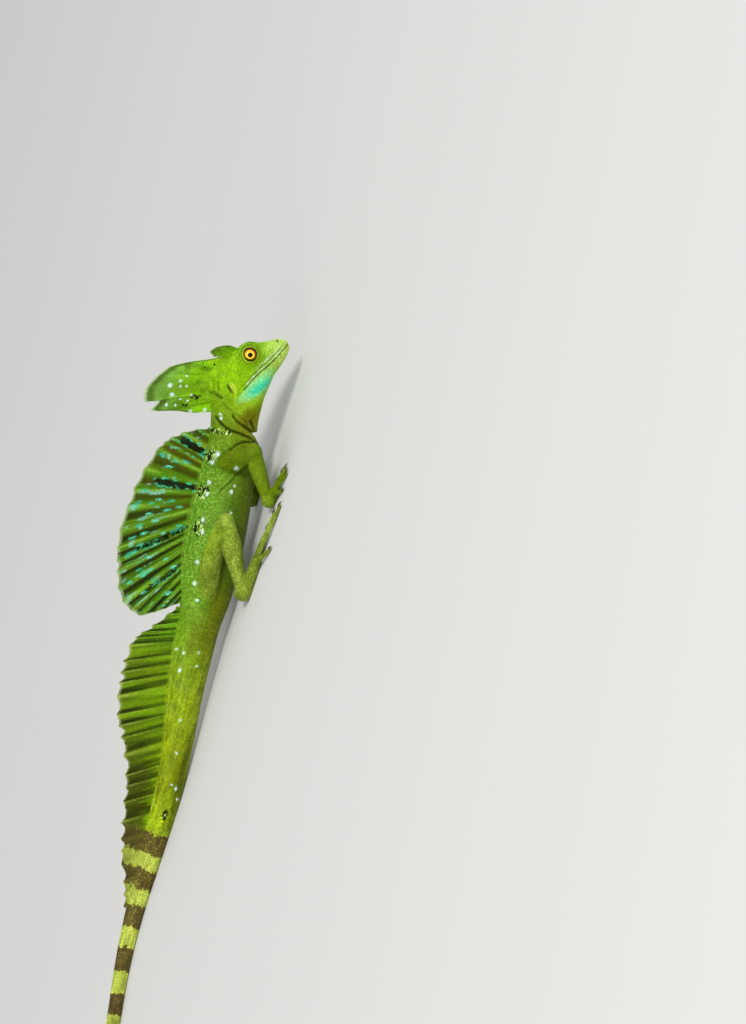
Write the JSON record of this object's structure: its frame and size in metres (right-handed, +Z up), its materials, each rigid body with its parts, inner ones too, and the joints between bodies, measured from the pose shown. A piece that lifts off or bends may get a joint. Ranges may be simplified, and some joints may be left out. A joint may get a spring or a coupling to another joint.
{
  "type": "green basilisk lizard, still life-size model",
  "caption": "Male green basilisk lizard standing on all fours with its head low, with a fan crest, a raised back sail, a tail sail and a long tail laid in a gentle bend.",
  "frame": {"origin": "middle of the bounding box at the floor", "axes": "+X towards the snout, along the length; +Y to the animal's left; +Z up from the floor"},
  "size_m": [0.7642, 0.147, 0.108],
  "materials": {
    "body_skin": "small keeled scales, lime green with pale turquoise spots",
    "limb_skin": "small scales, olive green",
    "tail_skin": "scales in rings, green with dark bands to the rear",
    "sail_skin": "thin skin over bony rays, green with dark bars and turquoise dashes",
    "eye": "wet gloss, golden orange iris with a round black pupil"
  },
  "bodies": {
    "root": {"back_sail": "sail_skin", "eye_left": "eye", "eye_right": "eye", "foot_left": "limb_skin", "foot_right": "limb_skin", "forearm_left": "limb_skin", "forearm_right": "limb_skin", "front_crest": "sail_skin", "hand_left": "limb_skin", "hand_right": "limb_skin", "head": "body_skin", "head_crest": "sail_skin", "neck": "body_skin", "shin_left": "limb_skin", "shin_right": "limb_skin", "tail_base": "tail_skin", "tail_middle": "tail_skin", "tail_rear": "tail_skin", "tail_sail": "sail_skin", "tail_tip": "tail_skin", "thigh_left": "limb_skin", "thigh_right": "limb_skin", "torso": "body_skin", "upper_arm_left": "limb_skin", "upper_arm_right": "limb_skin"}
  },
  "joints": []
}
